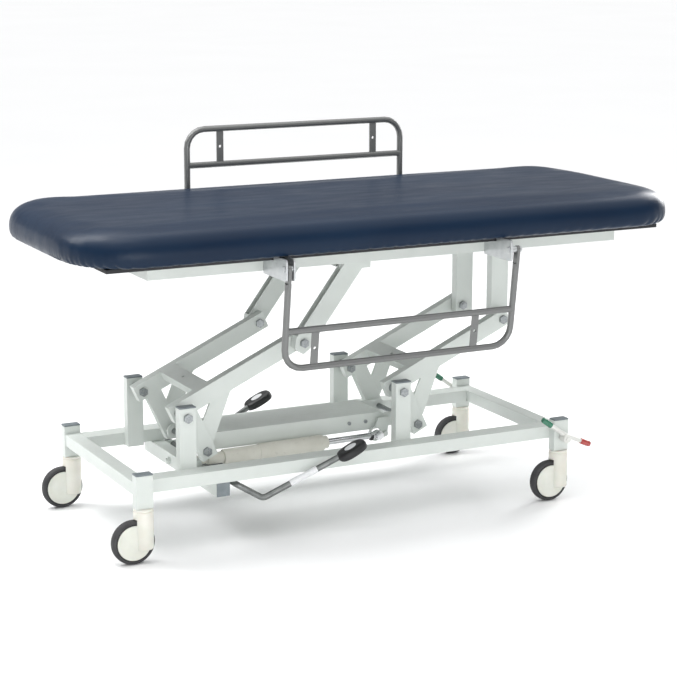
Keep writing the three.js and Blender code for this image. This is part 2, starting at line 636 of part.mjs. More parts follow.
add('top_frame', buildTopFrame(), FINISH.frame);
add('left_link_frame', buildLeftLinks(), FINISH.frame);
add('drop_leg_frame', buildDropLegs(), FINISH.frame);
add('mattress_board', box([-BOARD.x, BOARD.x], [-BOARD.y, BOARD.y], BOARD.z), FINISH.board);
add('mattress', buildMattress(), FINISH.vinyl);
SIDES.forEach(({ name, sign }) => {
  // The inner nut is thin, because it passes the ram barrel on the way down.
  const left = bolt(UPPER_LEFT.x, UPPER_LEFT.z, [116, 192.5], [[184.3, 192.5], [116, 121.7]]);
  add(`upper_pivot_${name}_left`, place(left, sign), FINISH.bolt);
  const right = bolt(UPPER_RIGHT.x, UPPER_RIGHT.z, [79, 160.5], [[152.3, 160.5], [81.5, 89.7]]);
  add(`upper_pivot_${name}_right`, place(right, sign), FINISH.bolt);
});

// ---------------------------------------------------------------- side rails and their brackets

// Drawn hanging straight down from the hinge line at the origin, then turned into place.
function buildSideRail({ legs, strips, turn }) {
  const loop = (radius, start, count) => tube([
    vec(legs[0], 0, -start), vec(legs[0], 0, -LOOP_DEPTH), vec(legs[1], 0, -LOOP_DEPTH), vec(legs[1], 0, -start),
  ], radius, LOOP_BEND, 5, count);
  const mid = (radius, reach, count) => roundX(radius, 0, -MID_DEPTH, [legs[0] + reach, legs[1] - reach], count);
  const pieces = [loop(TUBE_R, 42, 12), mid(TUBE_R, 1, 12)];
  const tools = [];
  legs.forEach((x) => {
    const half = [x - STRAP.x, x + STRAP.x];
    pieces.push(box(half, [-STRAP.y, STRAP.y], [-STRAP.depth, 0]));
    pieces.push(roundX(STRAP.y, 0, 0, half, 16));
    tools.push(roundX(5.5, 0, 0, [half[0] - 1, half[1] + 1]));
  });
  strips.forEach((x) => {
    pieces.push(box([x - 11, x + 11], [-2.5, 2.5], [-LOOP_DEPTH, -MID_DEPTH]));
    tools.push(roundY(4.5, x, -(LOOP_DEPTH + MID_DEPTH) / 2, [-4, 4]));
  });
  const bore = TUBE_R - TUBE_WALL;
  const hollows = [loop(bore, STRAP.depth + 2, 8), mid(bore, 3, 8)];
  // Small vent in the end tube, on the side that faces the mattress when the rail is up.
  const middle = (legs[0] + legs[1]) / 2;
  const vent = roundZ(2, middle, 0, [-LOOP_DEPTH, -LOOP_DEPTH + TUBE_R + 1], 8);
  const tubes = cut(union(pieces), [...hollows, vent]);
  const webs = strips.map((x) => box([x - 11, x + 11], [-2.5, 2.5], [-LOOP_DEPTH + TUBE_R - 1, -MID_DEPTH - TUBE_R + 1]));
  const solid = cut(tubes.add(union(webs)), tools);
  return solid.rotate([THREE.MathUtils.radToDeg(turn), 0, 0]);
}

SIDES.forEach(({ name, sign }) => {
  const rail = buildSideRail(SIDE_RAILS[name]).translate([0, sign * HINGE_Y, HINGE_Z]);
  add(`side_rail_${name}`, rail, FINISH.rail);
});

// Bracket plate in the YZ plane: against the frame rail, under the board, round the hinge pin.
function bracketPlate(x) {
  const outline = [
    [FRAME_Y[1] + GAP, 777], [416, 777], [423, 780], [425, 786], [425, 830], [422, 836], [416, 838],
    [BOARD.y + 2, 838], [BOARD.y + 2, BOARD.z[0] - 0.6], [FRAME_Y[1] + GAP, BOARD.z[0] - 0.6],
  ];
  return prism('x', outline, x[0], x[1]);
}

// Left bracket of each rail: two plates joined by a web, with the leg between them.
function buildForkBracket(legX) {
  const web = box([legX - 14, legX + 14], [FRAME_Y[1] + GAP, FRAME_Y[1] + 6], [777, BOARD.z[0] - 0.6]);
  return union([
    bracketPlate([legX - 14, legX - 9]),
    bracketPlate([legX + 9, legX + 14]),
    web,
    roundX(5, HINGE_Y, HINGE_Z, [legX - 17, legX + 17]),
    roundX(9, HINGE_Y, HINGE_Z, [legX - 19, legX - 13.5], 6),
    roundX(9, HINGE_Y, HINGE_Z, [legX + 13.5, legX + 19], 6),
    roundX(8, HINGE_Y, HINGE_Z, [legX - 9.5, legX - STRAP.x - GAP]),
    roundX(8, HINGE_Y, HINGE_Z, [legX + STRAP.x + GAP, legX + 9.5]),
  ]);
}

// Right bracket: one plate with a foot on the frame rail, and the leg outside it on a long pin.
function buildPlateBracket(legX) {
  const plate = [legX - 28, legX - 22];
  const foot = box([legX - 28, legX + 6], [FRAME_Y[1] + GAP, FRAME_Y[1] + 6], [777, BOARD.z[0] - 0.6]);
  return union([
    bracketPlate(plate),
    foot,
    roundX(5, HINGE_Y, HINGE_Z, [legX - 30, legX + 14]),
    roundX(9, HINGE_Y, HINGE_Z, [legX - 34, legX - 27.5], 6),
    roundX(9, HINGE_Y, HINGE_Z, [legX - 22.5, legX - STRAP.x - GAP]),
    roundX(9, HINGE_Y, HINGE_Z, [legX + STRAP.x + GAP, legX + 12], 6),
  ]);
}

SIDES.forEach(({ name, sign }) => {
  const [left, right] = SIDE_RAILS[name].legs;
  add(`rail_bracket_${name}_left`, place(buildForkBracket(left), sign), FINISH.bracket);
  add(`rail_bracket_${name}_right`, place(buildPlateBracket(right), sign), FINISH.bracket);
});

// ---------------------------------------------------------------- castors

// Drawn about the swivel axis, with the wheel trailing towards -X.
function buildHood() {
  const axle = { x: -WHEEL_TRAIL, z: WHEEL_R };
  const profile = [[0, HOOD_BOTTOM], [26, HOOD_BOTTOM], [HOOD_R, HOOD_BOTTOM + 4], [HOOD_R, 148], [27, 149],
    [27, POST_BOTTOM - GAP], [0, POST_BOTTOM - GAP]];
  const points = profile.map(([r, z]) => new THREE.Vector2(r, z));
  const lathe = new THREE.LatheGeometry(points, 16);
  lathe.rotateX(Math.PI / 2);
  const neck = solidOf(lathe);
  const slot = roundY(WHEEL_R + 3, axle.x, axle.z, [-15, 15], 16);
  const covers = both(roundY(49.5, axle.x, axle.z, [12.2, 16], WHEEL_FACETS));
  const pin = roundY(6, axle.x, axle.z, [-13, 13]);
  const stem = roundZ(10, 0, 0, [POST_BOTTOM - 1, SOCKET_TOP - 1]);
  return union([cut(neck, [slot]), covers, pin, stem]);
}

function buildWheelCore() {
  const disc = roundY(50, -WHEEL_TRAIL, WHEEL_R, [-11.5, 11.5], WHEEL_FACETS);
  return cut(disc, [roundY(6.5, -WHEEL_TRAIL, WHEEL_R, [-12, 12])]);
}

function buildTyre() {
  const inner = 50.6;
  const profile = [[inner, -13], [inner, 13], [57, 14], [61, 10.5], [WHEEL_R, 4], [WHEEL_R, -4], [61, -10.5],
    [57, -14], [inner, -13]];
  const points = profile.map(([r, y]) => new THREE.Vector2(r, y)).reverse();
  const lathe = new THREE.LatheGeometry(points, WHEEL_FACETS);
  return solidOf(lathe).translate([-WHEEL_TRAIL, 0, WHEEL_R]);
}

SIDES.forEach(({ name, sign }) => {
  ENDS.forEach((end) => {
    const at = [POST_X[end], sign * POST_Y, 0];
    add(`castor_hood_${name}_${end}`, buildHood().translate(at), FINISH.castor);
    add(`castor_wheel_${name}_${end}`, buildWheelCore().translate(at), FINISH.castor);
    add(`castor_tyre_${name}_${end}`, buildTyre().translate(at), FINISH.tyre);
  });
});

// ---------------------------------------------------------------- brake pedals

function buildBrakePedals() {
  const x = POST_X.right;
  const shaft = roundY(BRAKE_R, x, BRAKE_Z, [-350, 350], 6);
  const plane = 332;
  const hub = vec(x, plane, BRAKE_Z);
  const green = vec(x - 80, plane, BRAKE_Z + 65);
  const elbow = vec(x - 6, plane, BRAKE_Z + 12);
  const red = vec(x + 85, plane, BRAKE_Z - 28);
  const rocker = tube([green, elbow, red], 7, 12, 3, 10);
  const boss = roundY(13, hub.x, hub.z, [plane - 14, plane + 13], 16);
  return shaft.add(both(rocker.add(boss)));
}

add('brake_pedals', buildBrakePedals(), FINISH.castor);

export default group;
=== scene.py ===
"""Looks of the height-adjustable treatment table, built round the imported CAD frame. Metres, +Z up."""

import json
import math

import bmesh
import bpy
from mathutils import Matrix, Vector, noise


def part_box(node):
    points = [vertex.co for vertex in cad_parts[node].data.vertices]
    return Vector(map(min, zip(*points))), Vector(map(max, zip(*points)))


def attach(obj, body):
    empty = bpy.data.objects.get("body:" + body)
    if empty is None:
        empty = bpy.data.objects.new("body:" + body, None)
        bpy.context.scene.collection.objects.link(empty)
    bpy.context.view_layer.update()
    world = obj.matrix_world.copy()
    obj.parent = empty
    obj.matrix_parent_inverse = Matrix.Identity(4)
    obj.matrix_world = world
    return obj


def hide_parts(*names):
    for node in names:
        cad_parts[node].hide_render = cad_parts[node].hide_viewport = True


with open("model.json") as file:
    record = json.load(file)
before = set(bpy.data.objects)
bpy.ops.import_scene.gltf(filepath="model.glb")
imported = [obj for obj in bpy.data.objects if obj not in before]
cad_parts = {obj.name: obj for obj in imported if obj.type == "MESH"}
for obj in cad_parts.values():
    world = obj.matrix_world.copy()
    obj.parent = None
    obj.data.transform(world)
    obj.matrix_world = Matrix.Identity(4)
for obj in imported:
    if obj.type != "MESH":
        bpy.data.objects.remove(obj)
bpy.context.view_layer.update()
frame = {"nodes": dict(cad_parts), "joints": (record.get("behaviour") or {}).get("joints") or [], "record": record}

RECORD = frame["record"]
BODY_OF = {node: body for body, nodes in RECORD["behaviour"]["bodies"].items() for node in nodes}
SLOT_OF = {part["node"]: part["material_slot"] for part in RECORD["subparts"]}
JOINTS = {joint["name"]: joint for joint in frame["joints"]}
SIDES = {"front": -1, "rear": 1}
ENDS = ("left", "right")

# ------------------------------------------------------------------ sizes of what only this file makes

MATTRESS_CORNER = (0.205, 0.245)  # reach of each rounded corner along X and Y
MATTRESS_POWER = 2.4  # superellipse power of the corners
MATTRESS_ROLL = 0.056  # radius of the rolled upper edge
MATTRESS_TUCK = 0.010  # how far the lower edge turns under
SWELL_START = 0.0005  # how much smaller the pad is before the pressure swells it
SWELL_CAP = 0.005  # most that a point may move while it swells
PAD_VOXEL = 0.0125
PLEAT_SPACING = 0.027
PLEAT_DEPTH = 0.0065
PLEAT_RISE = 0.045  # height at which a pleat has faded out

TUBE_EDGE = 0.0016  # rounded edges of the steel sections
SMALL_EDGE = 0.0007  # rounded edges of bolts and small plates
SLIVER = 0.0003  # points closer than this are merged before edges are rounded
SHARP_ANGLE = math.radians(40)
BEAD_RADIUS = 0.0018  # weld beads
BEAD_RIPPLE = 0.0003
BEAD_TOWER_Y = 0.219
BEAD_POST_Y = 0.279
BEAD_POST_INSET = 0.003
BEAD_HEIGHTS = (0.1905, 0.2278)  # bottom and top of the base rails, where the beads run

WHEEL_RADIUS = 0.0625
TYRE_INNER = 0.0506
TYRE_HALF = 0.014
COVER_RADIUS = 0.0495
COVER_FACES = (0.0122, 0.016)
HOOD_RADIUS = 0.0285
HOOD_COLLAR = 0.027
HOOD_STEP = 0.148
HOOD_FOOT = 0.040
SLOT_HALF = 0.015
SLOT_RADIUS = 0.0655
STEM_RADIUS = 0.010

LEVER_ROD = 0.009
LEVER_PAD_POINT = Vector((-0.152, 0.321, 0.2455))  # pad end and knee of the rear foot lever
LEVER_KNEE = Vector((-0.400, 0.275, 0.128))
LABEL_START = 0.088  # from the knee to the label
LABEL_LENGTH = 0.0865
FOOT_PAD_HALF = (0.046, 0.031)
FOOT_PAD_CENTRE = (-0.143, 0.323, 0.251)
FOOT_PAD_SLOPE = math.atan2(0.0425, 0.088)
OVAL_HALF = (0.019, 0.013)

ROD_EYE_RADIUS = 0.0145
COLLAR_X = 0.0375
PLUG_INSET = (0.036, 0.030)
SCREW_INSET = 0.150
SCREW_SPACING = 0.055
SCREW_Y = -0.060
SCREW_DROP = 0.024

ROCKER_ROD = 0.007
ROCKER_Y = 0.332
ROCKER_GREEN = (-0.080, 0.065)  # green and red ends of a rocker, from its shaft, in X and Z
ROCKER_ELBOW = (-0.006, 0.012)
ROCKER_RED = (0.085, -0.028)
SLEEVE_LENGTH = 0.036
SLEEVE_WALL = 0.0022

# ------------------------------------------------------------------ shader helpers


class Surface:
    """A material whose colour, roughness and relief are built from noise in metres on the object."""

    def __init__(self, name, roughness, **values):
        self.material = bpy.data.materials.new(name)
        self.material.use_nodes = True
        self.tree = self.material.node_tree
        self.shader = self.tree.nodes["Principled BSDF"]
        self.shader.inputs["Roughness"].default_value = roughness
        for socket, value in values.items():
            self.shader.inputs[socket.replace("_", " ")].default_value = value
        self.place = self.node("ShaderNodeTexCoord").outputs["Object"]
        self.normal = None

    def node(self, kind, **settings):
        made = self.tree.nodes.new(kind)
        for key, value in settings.items():
            setattr(made, key, value)
        return made

    def link(self, source, target):
        self.tree.links.new(source, target)

    def stretched(self, stretch):
        """Coordinates scaled along each axis, for streaks and brushed finishes."""
        mapping = self.node("ShaderNodeMapping")
        mapping.inputs["Scale"].default_value = stretch
        self.link(self.place, mapping.inputs["Vector"])
        return mapping.outputs["Vector"]

    def noise(self, scale, detail=3.0, stretch=None):
        texture = self.node("ShaderNodeTexNoise")
        texture.inputs["Scale"].default_value = scale
        texture.inputs["Detail"].default_value = detail
        self.link(self.stretched(stretch) if stretch else self.place, texture.inputs["Vector"])
        return texture.outputs["Fac"]

    def cells(self, scale):
        texture = self.node("ShaderNodeTexVoronoi")
        texture.inputs["Scale"].default_value = scale
        self.link(self.place, texture.inputs["Vector"])
        return texture.outputs["Distance"]

    def colour(self, factor, low, high, span=(0.3, 0.7)):
        """The base colour runs from low to high as the factor crosses the span."""
        ramp = self.node("ShaderNodeValToRGB")
        first, last = ramp.color_ramp.elements
        first.position, last.position = span
        first.color = (*low, 1.0)
        last.color = (*high, 1.0)
        self.link(factor, ramp.inputs["Fac"])
        self.link(ramp.outputs["Color"], self.shader.inputs["Base Color"])

    def gloss(self, factor, low, high, span=(0.3, 0.7)):
        """The roughness runs from low to high as the factor crosses the span."""
        spread = self.node("ShaderNodeMapRange")
        for socket, value in zip(("From Min", "From Max", "To Min", "To Max"), (*span, low, high)):
            spread.inputs[socket].default_value = value
        self.link(factor, spread.inputs["Value"])
        self.link(spread.outputs["Result"], self.shader.inputs["Roughness"])

    def relief(self, height, distance, strength=1.0):
        """Adds a height field in metres on top of the relief so far."""
        bump = self.node("ShaderNodeBump")
        bump.inputs["Strength"].default_value = strength
        bump.inputs["Distance"].default_value = distance
        self.link(height, bump.inputs["Height"])
        if self.normal:
            self.link(self.normal, bump.inputs["Normal"])
        self.normal = bump.outputs["Normal"]
        self.link(self.normal, self.shader.inputs["Normal"])


# ------------------------------------------------------------------ materials


def vinyl_navy():
    """Coated upholstery fabric: fine leather grain and slow unevenness of the stretched cover."""
    made = Surface("vinyl_navy", 0.34, Specular_IOR_Level=0.20)
    made.colour(made.noise(5.0, 4.0, (0.5, 1.6, 1.6)), (0.0030, 0.0135, 0.0360), (0.0050, 0.0185, 0.0450))
    made.gloss(made.noise(16.0, 5.0, (0.45, 1.6, 1.6)), 0.30, 0.40)
    made.relief(made.noise(9.0, 2.0, (0.6, 1.5, 1.5)), 0.0024, 0.45)
    made.relief(made.noise(42.0, 3.0, (0.5, 1.4, 1.4)), 0.0004, 0.5)
    made.relief(made.cells(620.0), 0.00018, 0.45)
    made.relief(made.noise(1500.0, 2.0), 0.00006, 0.6)
    return made.material


def frame_paint():
    """Pale grey-green powder coat with a light orange peel."""
    made = Surface("frame_paint", 0.36, Specular_IOR_Level=0.5)
    made.colour(made.noise(11.0, 5.0), (0.615, 0.655, 0.625), (0.655, 0.695, 0.665))
    made.gloss(made.noise(60.0, 3.0), 0.28, 0.42)
    made.relief(made.noise(520.0, 2.0), 0.00012, 0.5)
    made.relief(made.noise(90.0, 2.0), 0.00015, 0.3)
    return made.material


def cap_plastic():
    """Blue-grey moulded end caps."""
    made = Surface("cap_plastic", 0.42, Specular_IOR_Level=0.5)
    made.colour(made.noise(45.0, 4.0), (0.150, 0.180, 0.195), (0.195, 0.225, 0.240))
    made.gloss(made.noise(140.0), 0.34, 0.50)
    made.relief(made.noise(1100.0, 1.0), 0.00009, 0.5)
    return made.material


def bolt_zinc():
    """Zinc-plated steel with a faint spangle and turning marks."""
    made = Surface("bolt_zinc", 0.35, Metallic=1.0)
    made.colour(made.cells(260.0), (0.230, 0.250, 0.260), (0.360, 0.380, 0.385), (0.1, 0.7))
    made.gloss(made.noise(300.0, 4.0), 0.26, 0.44)
    made.relief(made.noise(900.0, 3.0), 0.00008, 0.5)
    return made.material


def pump_metal():
    """Dark cast housing."""
    made = Surface("pump_metal", 0.55, Metallic=0.4)
    made.colour(made.noise(70.0, 5.0), (0.085, 0.095, 0.105), (0.135, 0.145, 0.155))
    made.gloss(made.noise(120.0, 4.0), 0.42, 0.66)
    made.relief(made.noise(420.0, 4.0), 0.0005, 0.5)
    return made.material


def lever_steel():
    """Dull grey plated rod, drawn along its length."""
    made = Surface("lever_steel", 0.40, Metallic=0.75)
    made.colour(made.noise(35.0, 5.0), (0.155, 0.165, 0.162), (0.240, 0.250, 0.245))
    made.gloss(made.noise(220.0, 4.0, (0.15, 1.0, 1.0)), 0.30, 0.46)
    made.relief(made.noise(700.0, 2.0, (0.1, 1.0, 1.0)), 0.00007, 0.5)
    return made.material


def pad_black():
    """Black moulded pedal pad with a fine spark-eroded grain."""
    made = Surface("pad_black", 0.38, Specular_IOR_Level=0.5)
    made.colour(made.noise(30.0, 3.0), (0.0075, 0.0080, 0.0085), (0.0130, 0.0135, 0.0145))
    made.gloss(made.noise(110.0, 4.0), 0.30, 0.46)
    made.relief(made.cells(900.0), 0.00012, 0.5)
    return made.material


def ram_cream():
    """Cream stove enamel on the ram."""
    made = Surface("ram_cream", 0.35, Specular_IOR_Level=0.5)
    made.colour(made.noise(20.0, 4.0), (0.660, 0.655, 0.580), (0.720, 0.715, 0.645))
    made.gloss(made.noise(80.0), 0.26, 0.40)
    made.relief(made.noise(420.0, 2.0), 0.00012, 0.4)
    return made.material


def rod_chrome():
    """Ground and chromed piston rod."""
    made = Surface("rod_chrome", 0.12, Metallic=1.0)
    made.colour(made.noise(90.0), (0.560, 0.570, 0.580), (0.680, 0.690, 0.700))
    made.gloss(made.noise(600.0, 3.0, (1.0, 0.1, 0.1)), 0.08, 0.20)
    made.relief(made.noise(2200.0, 1.0, (1.0, 0.1, 0.1)), 0.00002, 0.4)
    return made.material


def board_dark():
    """Dark stained board with grain along the table."""
    made = Surface("board_dark", 0.7)
    made.colour(made.noise(60.0, 6.0, (0.06, 1.0, 1.0)), (0.013, 0.014, 0.017), (0.028, 0.030, 0.034))
    made.gloss(made.noise(90.0, 3.0, (0.1, 1.0, 1.0)), 0.60, 0.80)
    made.relief(made.noise(240.0, 4.0, (0.05, 1.0, 1.0)), 0.0003, 0.5)
    return made.material


def rail_steel():
    """Metallic grey powder coat on the side rails."""
    made = Surface("rail_steel", 0.32, Metallic=0.4, Specular_IOR_Level=0.5)
    made.colour(made.noise(1400.0, 2.0), (0.170, 0.174, 0.172), (0.186, 0.190, 0.188))
    made.gloss(made.noise(70.0, 4.0), 0.28, 0.34)
    made.relief(made.noise(520.0, 2.0), 0.00009, 0.5)
    return made.material


def bracket_steel():
    """Bright zinc-plated plate with rolling marks."""
    made = Surface("bracket_steel", 0.38, Metallic=0.85)
    made.colour(made.noise(30.0, 5.0), (0.470, 0.490, 0.500), (0.600, 0.615, 0.620))
    made.gloss(made.noise(260.0, 3.0, (1.0, 0.2, 1.0)), 0.28, 0.46)
    made.relief(made.noise(900.0, 2.0, (1.0, 0.15, 1.0)), 0.00006, 0.5)
    return made.material


def castor_shell():
    """Off-white moulded nylon."""
    made = Surface("castor_shell", 0.36, Specular_IOR_Level=0.5, Subsurface_Weight=0.08)
    made.colour(made.noise(24.0, 4.0), (0.700, 0.685, 0.610), (0.765, 0.750, 0.685))
    made.gloss(made.noise(130.0, 3.0), 0.30, 0.44)
    made.relief(made.noise(950.0, 1.0), 0.00008, 0.4)
    return made.material


def tyre_grey():
    """Grey polyurethane tread, mottled at random."""
    made = Surface("tyre_grey", 0.62, Specular_IOR_Level=0.35)
    made.colour(made.noise(38.0, 5.0), (0.036, 0.036, 0.038), (0.062, 0.062, 0.064))
    made.gloss(made.noise(160.0, 4.0), 0.52, 0.74)
    made.relief(made.noise(520.0, 4.0), 0.00022, 0.5)
    return made.material


def pedal_steel():
    """White powder coat on the brake rockers."""
    made = Surface("pedal_steel", 0.40, Specular_IOR_Level=0.5)
    made.colour(made.noise(26.0, 4.0), (0.660, 0.665, 0.630), (0.725, 0.730, 0.700))
    made.gloss(made.noise(90.0), 0.34, 0.46)
    made.relief(made.noise(600.0, 2.0), 0.00010, 0.5)
    return made.material


def pedal_sleeve(name, low, high):
    """Clear tinted vinyl sleeve, glossy and slightly dimpled."""
    made = Surface(name, 0.22, Specular_IOR_Level=0.6, Coat_Weight=0.6, Coat_Roughness=0.12)
    made.colour(made.noise(120.0, 3.0, (0.4, 1.0, 1.0)), low, high)
    made.gloss(made.noise(200.0), 0.16, 0.30)
    made.relief(made.noise(320.0, 2.0), 0.00025, 0.5)
    return made.material


def label_white():
    """Matt printed foil with a slight fold pattern and no print."""
    made = Surface("label_white", 0.5)
    made.colour(made.noise(150.0, 4.0), (0.700, 0.715, 0.730), (0.790, 0.800, 0.810))
    made.gloss(made.noise(160.0), 0.40, 0.60)
    made.relief(made.noise(260.0, 3.0), 0.00018, 0.5)
    return made.material


MAKERS = [
    vinyl_navy, frame_paint, cap_plastic, bolt_zinc, pump_metal, lever_steel, pad_black, ram_cream,
    rod_chrome, board_dark, rail_steel, bracket_steel, castor_shell, tyre_grey, pedal_steel,
]
MATERIALS = {maker.__name__: maker() for maker in MAKERS}
SLEEVE_GREEN = pedal_sleeve("sleeve_green", (0.010, 0.115, 0.060), (0.030, 0.210, 0.120))
SLEEVE_RED = pedal_sleeve("sleeve_red", (0.300, 0.022, 0.018), (0.480, 0.060, 0.050))
LABEL = label_white()

# ------------------------------------------------------------------ mesh helpers


def smooth(mesh, angle=SHARP_ANGLE):
    mesh.polygons.foreach_set("use_smooth", [True] * len(mesh.polygons))
    mesh.set_sharp_from_angle(angle=angle)


def show(name, mesh, body, slot, material=None, replaces=()):
    """Links a mesh as a piece, rides it on its body and states the finish it takes."""
    mesh.materials.clear()
    mesh.materials.append(material or MATERIALS[slot])
    piece = bpy.data.objects.new(name, mesh)
    bpy.context.scene.collection.objects.link(piece)
    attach(piece, body)
    if replaces:
        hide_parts(*replaces)
    return piece


def mesh_from(name, shape, angle=SHARP_ANGLE):
    mesh = bpy.data.meshes.new(name)
    bmesh.ops.recalc_face_normals(shape, faces=shape.faces)
    shape.to_mesh(mesh)
    shape.free()
    smooth(mesh, angle)
    return mesh


def skin(rings, closed=True, capped=True):
    """A skin over rings of points. Closed joins the ends of each ring, capped fills the first and last."""
    shape = bmesh.new()
    rows = [[shape.verts.new(point) for point in ring] for ring in rings]
    count = len(rings[0])
    for row, after in zip(rows, rows[1:]):
        for i in range(count if closed else count - 1):
            j = (i + 1) % count
            shape.faces.new((row[i], row[j], after[j], after[i]))
    if capped:
        shape.faces.new(rows[0][::-1])
        shape.faces.new(rows[-1])
    return shape


def turned(profile, centre, axis, steps=96):
    """Rings of a solid of revolution. The profile is (distance along the axis, radius) points."""
    along = Vector(axis).normalized()
    side = along.orthogonal().normalized()
    other = along.cross(side)
    rings = []
    for distance, radius in profile:
        middle = Vector(centre) + along * distance
        angles = [2 * math.pi * i / steps for i in range(steps)]
        rings.append([middle + (side * math.cos(a) + other * math.sin(a)) * radius for a in angles])
    return rings


def swept(path, radius, sides=16):
    """Rings round a path of points, kept square to it, with no twist."""
    points = [Vector(p) for p in path]
    rings = []
    side = (points[1] - points[0]).orthogonal().normalized()
    for i, point in enumerate(points):
        ahead = points[min(i + 1, len(points) - 1)] - points[max(i - 1, 0)]
        ahead.normalize()
        side = (side - ahead * side.dot(ahead)).normalized()
        other = ahead.cross(side)
        size = radius(i / (len(points) - 1)) if callable(radius) else radius
        angles = [2 * math.pi * k / sides for k in range(sides)]
        rings.append([point + (side * math.cos(a) + other * math.sin(a)) * size for a in angles])
    return rings


def cut_by(mesh, tool):
    """The mesh less the tool mesh, as a new mesh."""
    carrier = bpy.data.objects.new("carrier", mesh)
    helper = bpy.data.objects.new("tool", tool)
    bpy.context.scene.collection.objects.link(carrier)
    bpy.context.scene.collection.objects.link(helper)
    step = carrier.modifiers.new("cut", "BOOLEAN")
    step.operation = "DIFFERENCE"
    step.solver = "EXACT"
    step.object = helper
    bpy.context.view_layer.update()
    evaluated = carrier.evaluated_get(bpy.context.evaluated_depsgraph_get())
    result = bpy.data.meshes.new_from_object(evaluated)
    bpy.data.objects.remove(helper)
    bpy.data.objects.remove(carrier)
    return result


# ------------------------------------------------------------------ steel parts with rounded edges


def rounded_copy(node, edge):
    """The node's own shape with merged faces and rounded edges, as the piece that stands for it."""
    shape = bmesh.new()
    shape.from_mesh(frame["nodes"][node].data)
    bmesh.ops.remove_doubles(shape, verts=shape.verts, dist=1e-6)
    bmesh.ops.dissolve_limit(shape, angle_limit=math.radians(0.5), verts=shape.verts, edges=shape.edges)
    if node != "brake_pedals":  # its facets are finer than the merging distance
        bmesh.ops.remove_doubles(shape, verts=shape.verts, dist=SLIVER)
        bmesh.ops.dissolve_degenerate(shape, edges=shape.edges, dist=1e-5)
    bmesh.ops.triangulate(shape, faces=shape.faces)
    creases = [e for e in shape.edges if len(e.link_faces) == 2 and e.calc_face_angle(0.0) > SHARP_ANGLE]
    bmesh.ops.bevel(
        shape, geom=creases, offset=edge, segments=2, profile=0.6, affect="EDGES", clamp_overlap=True,
    )
    mesh = mesh_from(f"{node}_shape", shape)
    piece = show(f"{node}_finished", mesh, BODY_OF[node], SLOT_OF[node], replaces=[node])
    piece.modifiers.new("flat faces", "WEIGHTED_NORMAL").keep_sharp = True
    return piece


def finish_steel():
    """Every carried-over node gets rounded edges; soft and turned parts are built afresh further down."""
    afresh = ("mattress", "castor_", "foot_pad_")
    small = ("bolt_zinc", "bracket_steel", "cap_plastic", "rail_steel")
    for node in sorted(frame["nodes"]):
        if node == "mattress_board" or not node.startswith(afresh):
            rounded_copy(node, SMALL_EDGE if SLOT_OF[node] in small else TUBE_EDGE)


# ------------------------------------------------------------------ mattress


def mattress_outline(half, shrink, height, steps=22):
    """Rounded rectangle with superellipse corners, pulled in by shrink, going round once."""
    reach = [corner - shrink for corner in MATTRESS_CORNER]
    quarter = []
    for i in range(steps + 1):
        angle = math.pi / 2 * i / steps
        bend = (abs(math.cos(angle)) ** (2 / MATTRESS_POWER), math.sin(angle) ** (2 / MATTRESS_POWER))
        quarter.append([h - shrink - r + r * b for h, r, b in zip(half, reach, bend)])
    back = quarter[::-1]
    turns = [(quarter, 1, 1), (back, -1, 1), (quarter, -1, -1), (back, 1, -1)]
    return [Vector((x * sx, y * sy, height)) for points, sx, sy in turns for x, y in points]


def mattress_start(half, bottom, top):
    """The unswollen pad: flat underside, upright wall and a rolled upper edge."""
    levels = [(MATTRESS_TUCK, bottom), (0.003, bottom + 0.003), (0.0, bottom + 0.012)]
    for i in range(7):
        angle = math.pi / 2 * i / 6
        drop = MATTRESS_ROLL * (1 - math.sin(angle))
        levels.append((MATTRESS_ROLL * (1 - math.cos(angle)), top - 0.0015 - drop))
    levels.append((MATTRESS_ROLL + 0.04, top))
    return skin([mattress_outline(half, shrink, height) for shrink, height in levels])


def swell(piece, held):
    """Blows the pad up with cloth pressure, with held points fixed and every move capped."""
    group = piece.vertex_groups.new(name="held")
    group.add(held, 1.0, "REPLACE")
    cloth = piece.modifiers.new("pressure", "CLOTH")
    settings = cloth.settings
    settings.quality = 5
    settings.mass = 0.4
    settings.tension_stiffness = 18
    settings.compression_stiffness = 18
    settings.bending_stiffness = 6
    settings.use_pressure = True
    settings.uniform_pressure_force = 4
    settings.effector_weights.gravity = 0
    settings.vertex_group_mass = "held"
    scene = bpy.context.scene
    for step in range(1, 21):
        scene.frame_set(step)
    evaluated = piece.evaluated_get(bpy.context.evaluated_depsgraph_get())
    moved = [v.co.copy() for v in evaluated.data.vertices]
    piece.modifiers.remove(cloth)
    for vertex, target in zip(piece.data.vertices, moved):
        outward = vertex.normal * min(max((target - vertex.co).dot(vertex.normal), 0.0), SWELL_CAP)
        vertex.co = vertex.co + outward
    scene.frame_set(1)
    soften(piece.data, held)


def soften(mesh, held, rounds=6):
    """Evens out the swollen skin, leaving the held points where they are."""
    fixed = set(held)
    shape = bmesh.new()
    shape.from_mesh(mesh)
    loose = [vertex for vertex in shape.verts if vertex.index not in fixed]
    for _ in range(rounds):
        bmesh.ops.smooth_vert(
            shape, verts=loose, factor=0.5, use_axis_x=True, use_axis_y=True, use_axis_z=True,
        )
    shape.to_mesh(mesh)
    shape.free()


def corner_share(point, half):
    """1 in the middle of a rounded corner of the outline, falling to 0 along the straight sides."""
    inside = [(abs(point[i]) - (half[i] - MATTRESS_CORNER[i])) / MATTRESS_CORNER[i] for i in (0, 1)]
    return max(0.0, min(1.0, min(inside[0], inside[1] + 0.25) * 2.4))


